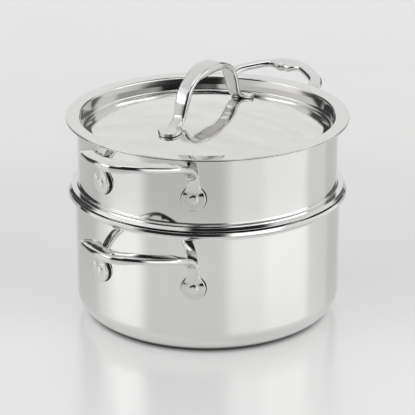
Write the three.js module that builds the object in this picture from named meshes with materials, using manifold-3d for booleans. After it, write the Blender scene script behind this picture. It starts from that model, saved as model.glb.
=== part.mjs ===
import * as THREE from 'three';
import { mergeVertices } from 'three/addons/utils/BufferGeometryUtils.js';
import Module from 'manifold-3d';

// A soup pot with a steamer insert and a lid, all of stainless steel.
// Millimetres, +Z up, the middle of the pot's base at the origin, the loop handles at -Y and +Y.

// Pot
const potWallRadius = 110;
const potWall = 2.3;
const potBase = 3;
const potCornerRadius = 20;
const potLip = 5.5;
const potRimHeight = 107.3;
const potFlareRadius = 3.7;

// Steamer insert
const insertSheet = 1;
const insertWallClearance = 0.3;
const insertLip = 8.4;
const insertRimBend = 3;
const insertHeadHeight = 59.4;
const insertSkirtDepth = 36;
const insertSkirtClearance = 1.3;
const insertCornerRadius = 9;
const beadSetback = 1.2;
const beadHeight = 3.4;
const beadGroove = 1.2;

// Holes in the base of the insert
const steamHoleRadius = 4;
const steamHolePitch = 24;
const steamHoleRings = 3;
const holesPerRingStep = 6;

// Lid
const lidSheet = 1;
const lidOverhang = 0.3;
const lidWallClearance = 1.1;
const lidRimBend = 2;
const lidDrop = 13;
const lidGrooveBend = 1.7;
const lidGrooveWidth = 2;
const lidStepWidth = 5.4;
const lidStepRise = 2.8;
const lidDomeRise = 14;

// Loop handles of the pot and the insert, measured from their lugs
const lugRadius = 9.6;
const lugThickness = 3.2;
const lugAngle = THREE.MathUtils.degToRad(22.2);
const lugBelowInsertRim = 33.5;
const lugBelowPotRim = 47.8;
const legWidth = 10.4;
const legThickness = 3.6;
const legStraight = 19;
const legLean = 0.9;
const legBeyondLip = 3.6;
const gripWidth = 12;
const gripThickness = 5.4;
const gripReach = 44;
const gripRise = 7.4;
const padHalfLength = 16;
const padWidening = 4.5;
const padThickening = 2.6;

// Arched handle of the lid
const footRadius = 9.6;
const footThickness = 3;
const footCircle = 55.8;
const archHalfSpan = 44;
const archHeight = 39.4;
const archLegWidth = 11;
const archLegThickness = 4;
const archPadWidth = 17;
const archPadThickness = 7.4;
const archPadHalfLength = 19;
const archTurn = -4.2;

// Rivets
const rivetShankRadius = 2;
const rivetHeadRadius = 4;
const rivetHeadRise = 1.1;
const rivetFlangeRadius = 6;
const rivetFlangeThickness = 1;

// Clearances
const seatGap = 0.3;
const fixedGap = 0.3;
const rivetHoleGap = 0.3;
const rivetSeatGap = 0.1;

// Fineness of the faceted surfaces
const bodySegments = 36;
const roundSegments = 12;
const holeSegments = 6;
const sectionPoints = 8;
const sectionFullness = 0.6;
const gripStations = 26;
const archStations = 24;

// Heights and radii that follow from the sizes above
const potInnerRadius = potWallRadius - potWall;
const potRimRadius = potWallRadius + potLip;
const insertWallRadius = potInnerRadius - insertWallClearance;
const insertRimRadius = insertWallRadius + insertLip;
const beadRadius = potRimRadius - beadSetback;
const lidRimRadius = insertRimRadius + lidOverhang;
const legBend = insertLip + legBeyondLip;
const beadBottom = potRimHeight + seatGap;
const insertRimHeight = potRimHeight + seatGap + insertHeadHeight;
const insertInnerRadius = insertWallRadius - insertSheet;
const skirtRadius = potInnerRadius - insertSkirtClearance;
const skirtInnerRadius = skirtRadius - insertSheet;
const insertBaseUnderside = beadBottom - insertSkirtDepth;
const lidTop = insertRimHeight + seatGap + lidSheet;
const lidWallOuter = insertInnerRadius - lidWallClearance;
const lidWallInner = lidWallOuter - lidSheet;
const lidGrooveHeight = lidTop - lidDrop;
const lidGrooveOuter = lidWallInner - lidGrooveBend;
const lidGrooveInner = lidGrooveOuter - lidGrooveWidth;
const lidDomeEdge = lidGrooveInner - lidStepWidth;
const lidDomeEdgeHeight = lidGrooveHeight + lidStepRise;
const lidDomeRadius = (lidDomeEdge ** 2 + lidDomeRise ** 2) / (2 * lidDomeRise);
const lidDomeTop = lidDomeEdgeHeight + lidDomeRise;
const domeHeightAt = (r) => lidDomeTop - lidDomeRadius + Math.sqrt(lidDomeRadius ** 2 - r ** 2);

const wasm = await Module();
wasm.setup();

const part = new THREE.Group();
part.name = 'soup_pot_with_steamer_insert';

function solid(geometry) {
  geometry.deleteAttribute('normal');
  geometry.deleteAttribute('uv');
  const merged = mergeVertices(geometry, 1e-4);
  return new wasm.Manifold(new wasm.Mesh({
    numProp: 3,
    vertProperties: new Float32Array(merged.attributes.position.array),
    triVerts: new Uint32Array(merged.index.array),
  }));
}

function add(name, body, colour, roughness) {
  const { vertProperties, triVerts } = body.getMesh();
  const geometry = new THREE.BufferGeometry();
  geometry.setAttribute('position', new THREE.BufferAttribute(vertProperties, 3));
  geometry.setIndex(new THREE.BufferAttribute(triVerts, 1));
  geometry.computeVertexNormals();
  const material = new THREE.MeshStandardMaterial({ color: colour, metalness: 1, roughness });
  const mesh = new THREE.Mesh(geometry, material);
  mesh.name = name;
  part.add(mesh);
}

// Points of an arc in the profile plane, angles in degrees from the outward direction towards up.
function arc(radius, height, bend, from, to, steps) {
  return Array.from({ length: steps + 1 }, (_, i) => {
    const angle = THREE.MathUtils.degToRad(from + ((to - from) * i) / steps);
    return new THREE.Vector2(radius + bend * Math.cos(angle), height + bend * Math.sin(angle));
  });
}

const at = (radius, height) => new THREE.Vector2(radius, height);

// A turned body: the profile runs counter-clockwise, radius to the right and height upwards.
function turned(profile, segments) {
  return solid(new THREE.LatheGeometry(profile, segments).rotateX(Math.PI / 2));
}

function cylinder(radius, length, segments) {
  return new THREE.CylinderGeometry(radius, radius, length, segments);
}

// Pot: flat base, rounded corner, straight wall and a lip that flares out.
function potBody() {
  const lip = potWall / 2;
  const bendCentre = potWallRadius + potFlareRadius;
  const wallTop = potRimHeight - potWall - potFlareRadius;
  const innerCorner = potCornerRadius - potWall;
  return turned([
    at(0, 0),
    ...arc(potWallRadius - potCornerRadius, potCornerRadius, potCornerRadius, -90, 0, 6),
    ...arc(bendCentre, wallTop, potFlareRadius, 180, 90, 4),
    ...arc(potRimRadius - lip, potRimHeight - lip, lip, -90, 90, 4),
    ...arc(bendCentre, wallTop, potFlareRadius + potWall, 90, 180, 4),
    ...arc(potInnerRadius - innerCorner, potBase + innerCorner, innerCorner, 0, -90, 5),
    at(0, potBase),
  ], bodySegments);
}

// Insert: rim for the lid, straight wall, bead on the pot's lip, skirt and perforated base.
function insertBody() {
  const edge = insertSheet / 2;
  const rimCentre = insertWallRadius - insertSheet + insertRimBend;
  const rimBendHeight = insertRimHeight - insertRimBend;
  const beadTop = beadBottom + beadHeight;
  const beadRound = beadHeight / 2;
  const grooveBottom = beadBottom + (beadHeight - beadGroove) / 2;
  const grooveTop = grooveBottom + beadGroove;
  const grooveRadius = beadRadius - (beadHeight - beadGroove) / 2;
  const innerCorner = insertCornerRadius - insertSheet;
  const body = turned([
    at(0, insertBaseUnderside),
    ...arc(skirtRadius - insertCornerRadius, insertBaseUnderside + insertCornerRadius, insertCornerRadius, -90, 0, 4),
    at(skirtRadius, beadBottom),
    ...arc(beadRadius - beadRound, beadBottom + beadRound, beadRound, -90, 90, 4),
    ...arc(insertWallRadius + beadRound, beadTop + beadRound, beadRound, -90, -180, 3),
    ...arc(rimCentre, rimBendHeight, insertRimBend - insertSheet, 180, 90, 3),
    ...arc(insertRimRadius - edge, insertRimHeight - edge, edge, -90, 90, 2),
    ...arc(rimCentre, rimBendHeight, insertRimBend, 90, 180, 3),
    at(insertInnerRadius, grooveTop),
    at(grooveRadius, grooveTop),
    at(grooveRadius, grooveBottom),
    at(skirtInnerRadius, grooveBottom),
    ...arc(skirtInnerRadius - innerCorner, insertBaseUnderside + insertCornerRadius, innerCorner, 0, -90, 3),
    at(0, insertBaseUnderside + insertSheet),
  ], bodySegments);
  return body.subtract(steamHoles());
}

function steamHoles() {
  const middle = insertBaseUnderside + insertSheet / 2;
  const holes = [];
  for (let ring = 0; ring <= steamHoleRings; ring += 1) {
    const count = Math.max(1, ring * holesPerRingStep);
    for (let i = 0; i < count; i += 1) {
      const turn = (2 * Math.PI * i) / count;
      const hole = cylinder(steamHoleRadius, 3 * insertSheet, holeSegments).rotateX(Math.PI / 2);
      hole.translate(ring * steamHolePitch * Math.cos(turn), ring * steamHolePitch * Math.sin(turn), middle);
      holes.push(solid(hole));
    }
  }
  return wasm.Manifold.union(holes);
}

// Lid: domed disc, step and groove, sunk wall and a flange that lies on the insert's rim.
function lidBody() {
  const edge = lidSheet / 2;
  const bendCentre = lidWallInner + lidRimBend;
  const bendHeight = lidTop - lidRimBend;
  const grooveCentreHeight = lidGrooveHeight + lidGrooveBend;
  const dome = [0.2, 0.4, 0.6, 0.8, 1].map((share) => at(lidDomeEdge * share, domeHeightAt(lidDomeEdge * share)));
  const below = (point) => at(point.x, point.y - lidSheet);
  return turned([
    at(0, lidDomeTop - lidSheet),
    ...dome.map(below),
    at(lidGrooveInner, lidGrooveHeight - lidSheet),
    ...arc(lidGrooveOuter, grooveCentreHeight, lidGrooveBend + lidSheet, -90, 0, 3),
    ...arc(bendCentre, bendHeight, lidRimBend - lidSheet, 180, 90, 2),
    ...arc(lidRimRadius - edge, lidTop - edge, edge, -90, 90, 2),
    ...arc(bendCentre, bendHeight, lidRimBend, 90, 180, 3),
    ...arc(lidGrooveOuter, grooveCentreHeight, lidGrooveBend, 0, -90, 3),
    at(lidGrooveInner, lidGrooveHeight),
    ...dome.reverse(),
    at(0, lidDomeTop),
  ], bodySegments);
}

// A strap swept along stations; each station gives its place, its two side directions and its four half sizes.
function strap(stations) {
  const positions = [];
  const index = [];
  const full = Math.cos(Math.PI / sectionPoints) ** sectionFullness;
  for (const { place, side, up, right, left, top, bottom } of stations) {
    for (let i = 0; i < sectionPoints; i += 1) {
      const turn = (2 * Math.PI * (i + 0.5)) / sectionPoints;
      const across = Math.sign(Math.cos(turn)) * (Math.abs(Math.cos(turn)) ** sectionFullness / full);
      const over = Math.sign(Math.sin(turn)) * (Math.abs(Math.sin(turn)) ** sectionFullness / full);
      const point = place.clone();
      point.addScaledVector(side, across * (across > 0 ? right : left));
      point.addScaledVector(up, over * (over > 0 ? top : bottom));
      positions.push(point.x, point.y, point.z);
    }
  }
  for (let s = 0; s + 1 < stations.length; s += 1) {
    for (let i = 0; i < sectionPoints; i += 1) {
      const a = s * sectionPoints + i;
      const b = s * sectionPoints + ((i + 1) % sectionPoints);
      index.push(a, b + sectionPoints, b, a, a + sectionPoints, b + sectionPoints);
    }
  }
  const last = (stations.length - 1) * sectionPoints;
  for (let i = 1; i + 1 < sectionPoints; i += 1) {
    index.push(0, i, i + 1, last, last + i + 1, last + i);
  }
  const geometry = new THREE.BufferGeometry();
  geometry.setAttribute('position', new THREE.Float32BufferAttribute(positions, 3));
  geometry.setIndex(index);
  return solid(geometry);
}

const smoothBump = (distance, reach) => (
  Math.abs(distance) < reach ? 0.5 + 0.5 * Math.cos((Math.PI * distance) / reach) : 0
);

// One half of a loop handle's centre line, from its lug up the leg and out to the middle of the grip.
function loopHalf(wallRadius, side) {
  const lugMiddle = wallRadius + fixedGap + lugThickness / 2;
  const radial = (r, z) => new THREE.Vector3(side * r * Math.sin(lugAngle), -r * Math.cos(lugAngle), z);
  const bendHeight = legStraight + legBend;
  const diagonal = legBend * Math.SQRT1_2;
  const start = lugMiddle + legBend;
  const endReach = start * Math.cos(lugAngle);
  const endSide = start * Math.sin(lugAngle);
  const middleReach = wallRadius + gripReach;
  const grip = (acrossShare, outShare) => new THREE.Vector3(
    side * endSide * acrossShare,
    -(endReach + (middleReach - endReach) * outShare),
    bendHeight + gripRise * outShare,
  );
  return [
    radial(lugMiddle, lugRadius * 0.3),
    radial(lugMiddle, legStraight * 0.55),
    radial(lugMiddle + legLean, legStraight),
    radial(lugMiddle + legBend - diagonal, legStraight + diagonal),
    grip(1, 0),
    grip(0.83, 0.36),
    grip(0.63, 0.62),
    grip(0.4, 0.83),
    grip(0.16, 0.965),
  ];
}

function loopHandle(wallRadius, lugHeight) {
  const left = loopHalf(wallRadius, -1);
  const right = loopHalf(wallRadius, 1).reverse();
  const middle = new THREE.Vector3(0, -(wallRadius + gripReach), legStraight + legBend + gripRise);
  const line = new THREE.CatmullRomCurve3([...left, middle, ...right], false, 'centripetal');
  const length = line.getLength();
  const up = new THREE.Vector3(0, 0, 1);
  const stations = Array.from({ length: gripStations + 1 }, (_, i) => {
    const share = i / gripStations;
    const place = line.getPointAt(share);
    const along = line.getTangentAt(share);
    const out = new THREE.Vector3(place.x, place.y, 0).normalize().multiplyScalar(share < 0.5 ? 1 : -1);
    const level = new THREE.Vector3(along.x, along.y, 0);
    const heading = level.clone().addScaledVector(out, 1 - level.length()).normalize();
    const side = new THREE.Vector3().crossVectors(heading, up);
    const over = new THREE.Vector3().crossVectors(side, along).normalize();
    const pad = smoothBump((share - 0.5) * length, padHalfLength);
    const grip = THREE.MathUtils.smoothstep(place.z, legStraight, legStraight + legBend);
    const width = THREE.MathUtils.lerp(legWidth, gripWidth, grip) / 2;
    const thick = THREE.MathUtils.lerp(legThickness, gripThickness, grip) / 2;
    const foot = place.z < legStraight / 2 ? lugThickness / legThickness : 1;
    return {
      place, side, up: over,
      right: width,
      left: width + padWidening * pad,
      top: thick * foot * 0.98,
      bottom: (thick + padThickening * pad) * foot * 0.98,
    };
  });
  let body = strap(stations);
  for (const turn of [-lugAngle, lugAngle]) {
    const middleRadius = wallRadius + fixedGap + lugThickness / 2;
    const lug = cylinder(lugRadius, lugThickness, roundSegments).translate(0, -middleRadius, 0).rotateZ(turn);
    body = body.add(solid(lug));
  }
  for (const turn of [-lugAngle, lugAngle]) {
    const hole = cylinder(rivetShankRadius + rivetHoleGap, 4 * lugThickness, roundSegments);
    body = body.subtract(solid(hole.translate(0, -wallRadius, 0).rotateZ(turn)));
  }
  return body.translate([0, 0, lugHeight]);
}

// Rivet through a wall and a lug, its flat head inside and its domed head on the lug.
function rivet(wallRadius, wall, lugHeight, turn) {
  const lugFace = wallRadius + fixedGap + lugThickness;
  const facetRadius = (wallRadius - wall) * Math.cos(Math.PI / bodySegments);
  const inner = Math.sqrt(facetRadius ** 2 - rivetFlangeRadius ** 2) - rivetSeatGap;
  const profile = [
    at(0, inner - rivetFlangeThickness),
    at(rivetFlangeRadius - rivetFlangeThickness, inner - rivetFlangeThickness),
    at(rivetFlangeRadius, inner),
    at(rivetShankRadius, inner),
    at(rivetShankRadius, lugFace + fixedGap),
    at(rivetHeadRadius, lugFace + fixedGap),
    at(rivetHeadRadius * 0.8, lugFace + fixedGap + rivetHeadRise * 0.75),
    at(rivetHeadRadius * 0.4, lugFace + fixedGap + rivetHeadRise),
    at(0, lugFace + fixedGap + rivetHeadRise),
  ];
  const body = new THREE.LatheGeometry(profile, roundSegments);
  return solid(body.rotateZ(Math.PI).rotateZ(turn).translate(0, 0, lugHeight));
}

// Hole for a rivet's shank through a wall.
function rivetHole(wallRadius, lugHeight, turn) {
  const hole = cylinder(rivetShankRadius + rivetHoleGap, 10, roundSegments);
  return solid(hole.translate(0, -wallRadius, 0).rotateZ(turn).translate(0, 0, lugHeight));
}

// Lid handle: two legs that rise from round feet to a broad pad. The lid lies turned a little in the insert.
function lidHandle() {
  const slope = Math.asin(footCircle / lidDomeRadius);
  const footBase = domeHeightAt(footCircle) + fixedGap;
  const legBase = domeHeightAt(archHalfSpan) + fixedGap + footThickness / 2;
  const top = lidDomeTop + archHeight - archPadThickness / 2;
  const rise = top - legBase;
  const half = [
    new THREE.Vector3(0, footCircle, footBase + footThickness * 0.52),
    new THREE.Vector3(0, (footCircle + archHalfSpan) / 2, (footBase + legBase) / 2 + footThickness * 0.35),
    new THREE.Vector3(0, archHalfSpan * 0.97, legBase + rise * 0.11),
    new THREE.Vector3(0, archHalfSpan * 0.85, legBase + rise * 0.46),
    new THREE.Vector3(0, archHalfSpan * 0.72, legBase + rise * 0.735),
    new THREE.Vector3(0, archHalfSpan * 0.5, legBase + rise * 0.9),
    new THREE.Vector3(0, archHalfSpan * 0.25, legBase + rise * 0.98),
  ];
  const mirrored = half.map((point) => new THREE.Vector3(0, -point.y, point.z));
  const middle = new THREE.Vector3(0, 0, top);
  const line = new THREE.CatmullRomCurve3([...mirrored, middle, ...half.reverse()], false, 'centripetal');
  const length = line.getLength();
  const side = new THREE.Vector3(1, 0, 0);
  const stations = Array.from({ length: archStations + 1 }, (_, i) => {
    const share = i / archStations;
    const pad = smoothBump((share - 0.5) * length, archPadHalfLength);
    const width = THREE.MathUtils.lerp(archLegWidth, archPadWidth, pad) / 2;
    const thick = THREE.MathUtils.lerp(archLegThickness, archPadThickness, pad) / 2;
    const foot = Math.min(share, 1 - share) < 0.12 ? footThickness / archLegThickness : 1;
    const up = new THREE.Vector3().crossVectors(side, line.getTangentAt(share)).normalize();
    const thin = thick * foot * 0.9;
    return { place: line.getPointAt(share), side, up, right: width, left: width, top: thin, bottom: thin };
  });
  let body = strap(stations);
  for (const end of [-1, 1]) {
    const foot = cylinder(footRadius, footThickness, roundSegments).rotateX(Math.PI / 2 - end * slope);
    body = body.add(solid(foot.translate(0, end * footCircle, footBase + footThickness / 2)));
  }
  const clear = turned([
    at(0, lidDomeEdgeHeight - lidDrop),
    at(lidDomeEdge, lidDomeEdgeHeight - lidDrop),
    ...[1, 0.8, 0.6, 0.4, 0.2].map((share) => at(lidDomeEdge * share, domeHeightAt(lidDomeEdge * share) + fixedGap)),
    at(0, lidDomeTop + fixedGap),
  ], bodySegments);
  return body.subtract(clear).rotate([0, 0, archTurn]);
}

const half = Math.PI;
const sides = [['left', -lugAngle], ['right', lugAngle]];
const ends = [['front', 0], ['rear', half]];
const potLugHeight = potRimHeight - lugBelowPotRim;
const insertLugHeight = insertRimHeight - lugBelowInsertRim;

let pot = potBody();
let insert = insertBody();
for (const [, turn] of ends) {
  for (const [, angle] of sides) {
    pot = pot.subtract(rivetHole(potWallRadius, potLugHeight, turn + angle));
    insert = insert.subtract(rivetHole(insertWallRadius, insertLugHeight, turn + angle));
  }
}
add('pot_body', pot, 0xc9c9c6, 0.16);
add('insert_body', insert, 0xcbcbc8, 0.16);
add('lid', lidBody(), 0xcfcfcc, 0.22);
add('lid_handle', lidHandle(), 0xd2d2cf, 0.14);
for (const [end, turn] of ends) {
  const degrees = THREE.MathUtils.radToDeg(turn);
  add(`pot_handle_${end}`, loopHandle(potWallRadius, potLugHeight).rotate([0, 0, degrees]), 0xd2d2cf, 0.14);
  add(`insert_handle_${end}`, loopHandle(insertWallRadius, insertLugHeight).rotate([0, 0, degrees]), 0xd2d2cf, 0.14);
  for (const [side, angle] of sides) {
    add(`pot_rivet_${end}_${side}`, rivet(potWallRadius, potWall, potLugHeight, turn + angle), 0xc4c4c0, 0.2);
    add(`insert_rivet_${end}_${side}`,
      rivet(insertWallRadius, insertSheet, insertLugHeight, turn + angle), 0xc4c4c0, 0.2);
  }
}

export default part;
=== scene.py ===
# %% [markdown]
# # A soup pot with a steamer insert
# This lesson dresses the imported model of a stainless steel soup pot. A steamer insert hangs in the
# pot's rim, a sunk lid lies on the insert, and loop handles are riveted to both vessels.
# Each real piece becomes one mesh, in metres and in the frame's own place, so nothing has to be
# moved into position afterwards. The frame has to be loaded first, because every piece rides on it.

# %% Load the frame
import math

import bmesh
import bpy
from mathutils import Matrix, Vector


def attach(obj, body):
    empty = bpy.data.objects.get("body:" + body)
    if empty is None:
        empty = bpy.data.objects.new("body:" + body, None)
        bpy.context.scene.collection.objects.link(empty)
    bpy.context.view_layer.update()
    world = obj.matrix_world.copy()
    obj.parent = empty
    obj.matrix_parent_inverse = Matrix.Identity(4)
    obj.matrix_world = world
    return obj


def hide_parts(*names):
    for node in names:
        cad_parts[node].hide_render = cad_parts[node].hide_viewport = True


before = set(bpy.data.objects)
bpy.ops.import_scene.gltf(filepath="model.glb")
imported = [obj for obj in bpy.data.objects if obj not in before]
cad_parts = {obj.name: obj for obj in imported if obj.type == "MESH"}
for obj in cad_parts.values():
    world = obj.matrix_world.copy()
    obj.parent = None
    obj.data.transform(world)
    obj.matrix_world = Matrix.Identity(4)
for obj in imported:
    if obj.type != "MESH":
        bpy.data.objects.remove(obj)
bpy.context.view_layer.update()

MM = 0.001

# %% [markdown]
# ## Camera
# The pot was looked at with a long lens from its front right, a little above the rim. A long lens
# keeps the ellipses of the rims nearly alike. The lens is given as a focal length in pixels of the
# square picture, and the sensor width turns that into Blender's millimetres.

# %% Camera
VIEW_TURN = math.radians(27.85)
VIEW_LIFT = math.radians(20.73)
VIEW_DISTANCE = 1.6484
VIEW_AIM = Vector((0, 0, 0.08566))
FOCAL_PIXELS = 1980
PICTURE_SIDE = 415
SENSOR_WIDTH = 36


def direction(turn, lift):
    """The unit vector at an angle to the right of the front (-Y) and above the floor."""
    level = math.cos(lift)
    return Vector((level * math.sin(turn), -level * math.cos(turn), math.sin(lift)))


def add_object(name, data):
    piece = bpy.data.objects.new(name, data)
    bpy.context.scene.collection.objects.link(piece)
    return piece


lens = bpy.data.cameras.new("studio_camera")
lens.sensor_width = SENSOR_WIDTH
lens.lens = SENSOR_WIDTH * FOCAL_PIXELS / PICTURE_SIDE
camera = add_object("studio_camera", lens)
to_camera = direction(VIEW_TURN, VIEW_LIFT)
camera.location = VIEW_AIM + VIEW_DISTANCE * to_camera
camera.rotation_euler = to_camera.to_track_quat("Z", "Y").to_euler()
bpy.context.scene.camera = camera
bpy.context.scene.view_settings.view_transform = "Standard"
print("camera at", [round(v, 4) for v in camera.location])

# %% [markdown]
# ## Nodes
# Every finish here is procedural: noise and a few sums on the piece's own coordinates. Images could
# be painted instead, but noise needs no file, no unwrapping and doesn't blur up close. The helpers
# below mostly add one node and hand back its result, so a finish reads as a short list of steps.

# %% Noise and colour nodes


def new_finish(name):
    """A node material: its tree, its shader and its object coordinates."""
    finish = bpy.data.materials.new(name)
    finish.use_nodes = True
    tree = finish.node_tree
    places = tree.nodes.new("ShaderNodeTexCoord")
    return finish, tree, tree.nodes["Principled BSDF"], places.outputs["Object"]


def add_noise(tree, vector, scale, detail=2.0, roughness=0.5):
    noise = tree.nodes.new("ShaderNodeTexNoise")
    noise.inputs["Scale"].default_value = scale
    noise.inputs["Detail"].default_value = detail
    noise.inputs["Roughness"].default_value = roughness
    tree.links.new(vector, noise.inputs["Vector"])
    return noise.outputs["Fac"]


def spread(tree, value, low, high, start=0.3, end=0.7):
    """Maps a noise value, which mostly lies between start and end, to low and high."""
    ranged = tree.nodes.new("ShaderNodeMapRange")
    for socket, number in (("From Min", start), ("From Max", end), ("To Min", low), ("To Max", high)):
        ranged.inputs[socket].default_value = number
    tree.links.new(value, ranged.inputs["Value"])
    return ranged.outputs["Result"]


def tint(tree, value, first, second):
    """A colour between two close tints."""
    mix = tree.nodes.new("ShaderNodeMix")
    mix.data_type = "RGBA"
    mix.inputs["A"].default_value = (*first, 1)
    mix.inputs["B"].default_value = (*second, 1)
    tree.links.new(spread(tree, value, 0, 1), mix.inputs["Factor"])
    return mix.outputs["Result"]


print("noise, spread and tint are ready")

# %% Number and vector nodes


def feed(tree, socket, value):
    """Gives a socket a constant or another node's result."""
    if isinstance(value, float):
        socket.default_value = value
    else:
        tree.links.new(value, socket)


def number_step(tree, operation, first, second):
    node = tree.nodes.new("ShaderNodeMath")
    node.operation = operation
    feed(tree, node.inputs[0], first)
    feed(tree, node.inputs[1], second)
    return node.outputs["Value"]


def between(tree, share, first, second):
    """A number between two others, each of them a constant or another node's result."""
    mix = tree.nodes.new("ShaderNodeMix")
    mix.data_type = "FLOAT"
    feed(tree, mix.inputs["Factor"], share)
    feed(tree, mix.inputs["A"], first)
    feed(tree, mix.inputs["B"], second)
    return mix.outputs["Result"]


def fade(tree, value, start, end):
    """0 below start, 1 above end and a smooth change between them."""
    ranged = tree.nodes.new("ShaderNodeMapRange")
    ranged.interpolation_type = "SMOOTHSTEP"
    ranged.inputs["From Min"].default_value = start
    ranged.inputs["From Max"].default_value = end
    tree.links.new(value, ranged.inputs["Value"])
    return ranged.outputs["Result"]


def vector_step(tree, operation, vector, other=(0, 0, 0), result="Vector"):
    node = tree.nodes.new("ShaderNodeVectorMath")
    node.operation = operation
    node.inputs[1].default_value = other
    tree.links.new(vector, node.inputs[0])
    return node.outputs[result]


def radius_from_axis(tree, vector):
    """How far a place is from the upright axis."""
    level = vector_step(tree, "MULTIPLY", vector, (1, 1, 0))
    return vector_step(tree, "LENGTH", level, result="Value")


print("sums, fades and vectors are ready")

# %% [markdown]
# ## Floor
# Polished steel has hardly any colour of its own: it shows what stands around it. The straight walls
# of the pot mirror the worktop close by, so the floor is pale and has a little gloss, like stone.
# A plain grid is enough; its material carries a faint cloudiness so that it isn't one flat colour.
# Half of its paleness is a glow that only the camera and the mirrors see. It lights nothing, and it
# ends at the pot's foot, so the contact shadow stays dark. It is strongest in front of the pot, where
# the worktop catches the light, and that part of the floor is what the pot's wall mirrors.

# %% Stone
STONE_DARK = (0.36, 0.36, 0.357)
STONE_LIGHT = (0.40, 0.40, 0.397)
STONE_CLOUDS = 3.0
STONE_ROUGHNESS = (0.18, 0.24)
STONE_IOR = 1.8
GLOW_COLOUR = (1, 1, 0.995, 1)
FRONT_GLOW = 0.45
SIDE_GLOW = 0.34
FAR_GLOW = 0.365
GLOW_EDGE = (0.095, 0.105)      # metres from the axis where the glow begins
GLOW_FRONT = (-0.08, 0.12)      # metres towards the camera where it grows
GLOW_FAR = (0.34, 0.46)         # metres from the axis where it settles

stone, tree, shader, places = new_finish("pale_stone")
clouds = add_noise(tree, places, STONE_CLOUDS, detail=3.0)
tree.links.new(tint(tree, clouds, STONE_DARK, STONE_LIGHT), shader.inputs["Base Color"])
tree.links.new(spread(tree, clouds, *STONE_ROUGHNESS), shader.inputs["Roughness"])
shader.inputs["IOR"].default_value = STONE_IOR

rays = tree.nodes.new("ShaderNodeLightPath").outputs
seen = number_step(tree, "ADD", rays["Is Camera Ray"], rays["Is Glossy Ray"])
radius = radius_from_axis(tree, places)
ahead = vector_step(tree, "DOT_PRODUCT", places, direction(VIEW_TURN, 0), "Value")
glow = between(tree, fade(tree, ahead, *GLOW_FRONT), SIDE_GLOW, FRONT_GLOW)
glow = between(tree, fade(tree, radius, *GLOW_FAR), glow, FAR_GLOW)
glow = between(tree, fade(tree, radius, *GLOW_EDGE), 0.0, glow)
tree.links.new(number_step(tree, "MULTIPLY", seen, glow), shader.inputs["Emission Strength"])
shader.inputs["Emission Color"].default_value = GLOW_COLOUR
print("stone", len(tree.nodes), "nodes")

# %% Floor
FLOOR_HALF = 6.0
FLOOR_DROP = 0.0003

bm = bmesh.new()
bmesh.ops.create_grid(bm, x_segments=1, y_segments=1, size=FLOOR_HALF,
                      matrix=Matrix.Translation((0, 0, -FLOOR_DROP)))
mesh = bpy.data.meshes.new("floor")
bm.to_mesh(mesh)
bm.free()
mesh.materials.append(stone)
floor = add_object("floor", mesh)
print("floor", 2 * FLOOR_HALF, "m square")

# %% [markdown]
# ## Light
# A plain studio without lamps: the world alone lights the scene, so every edge of light is soft.
# The room is pale, with a skylight overhead, three brighter bands low at the left, the front right
# and the right, and a softer light over the left band. The room in front, behind the camera, is dark,
# and that draws the black lines along the rims and the grips. Two dark screens at the back give the
# round walls an edge, and the room is grey high at the right. Lamps and cards could be set up instead,
# but in the world each of them is only a range of directions, blurred at its edge. The brightness
# depends only on direction, so it stays where it is when the camera moves.

# %% Directions in the world
world = bpy.data.worlds.new("studio")
bpy.context.scene.world = world
world.use_nodes = True
tree = world.node_tree
sky = tree.nodes.new("ShaderNodeTexCoord").outputs["Generated"]
level = vector_step(tree, "NORMALIZE", vector_step(tree, "MULTIPLY", sky, (1, 1, 0)))
height = vector_step(tree, "DOT_PRODUCT", sky, (0, 0, 1), "Value")


def towards(turn):
    """How far the looked-at direction agrees with one to the right of the front, from -1 to 1."""
    return vector_step(tree, "DOT_PRODUCT", level, direction(turn, 0), "Value")


def sector(start, end, blur):
    """1 between two turns to the right of the camera, in degrees, and 0 elsewhere."""
    half, blur = math.radians(end - start) / 2, math.radians(blur)
    middle = towards(VIEW_TURN + math.radians(start + end) / 2)
    return fade(tree, middle, math.cos(half + blur), math.cos(half - blur))


def above(lift, blur):
    """1 above a lift over the floor, in degrees, and 0 below it."""
    return fade(tree, height, *(math.sin(math.radians(lift + side * blur)) for side in (-1, 1)))


def storey(where, low, top):
    """A sector between two lifts, each given with its blur."""
    return between(tree, above(*top), between(tree, above(*low), 0.0, where), 0.0)


print("world directions from", sky.name)

# %% Studio light
BACK_LIGHT, SIDE_LIGHT, BACK_FADE = 0.84, 0.78, (-0.25, 0.55)
CEILING_LIGHT, CEILING = 0.75, (62, 12)         # (lift, blur) in degrees
SKYLIGHT, OVERHEAD = 1.8, (74, 4)
HIGH = (42, 2)
CORNER_LIGHT, CORNER = 0.45, (77, 125, 6)       # (from, to, blur) in degrees from the camera
LEFT_LIGHT, LEFT, LEFT_LOW, LEFT_TOP = 1.05, (-105, -54, 9), (21.5, 2.5), (45, 6)
BAND_TOP, BAND_BLUR = 26, 1.5
BANDS = (                                       # from, to, blur, lowest lift, strength
    (-92, -45, 9, 21, 3.3),
    (18, 50, 5, 14, 1.5),
    (50, 96, 5, 15, 2.3),
)
SCREEN_BLUR, SCREEN_TOP_BLUR = 5, 3
SCREENS = (                                     # from, to, highest lift, strength
    (-155, -110, 32, 0.06),
    (128, 158, 28, 0.16),
)
DARK_LIGHT, DARK_LOW, DARK_HIGH = 0.02, (-57, 16, 8), (-20, 77, 6)

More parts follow.
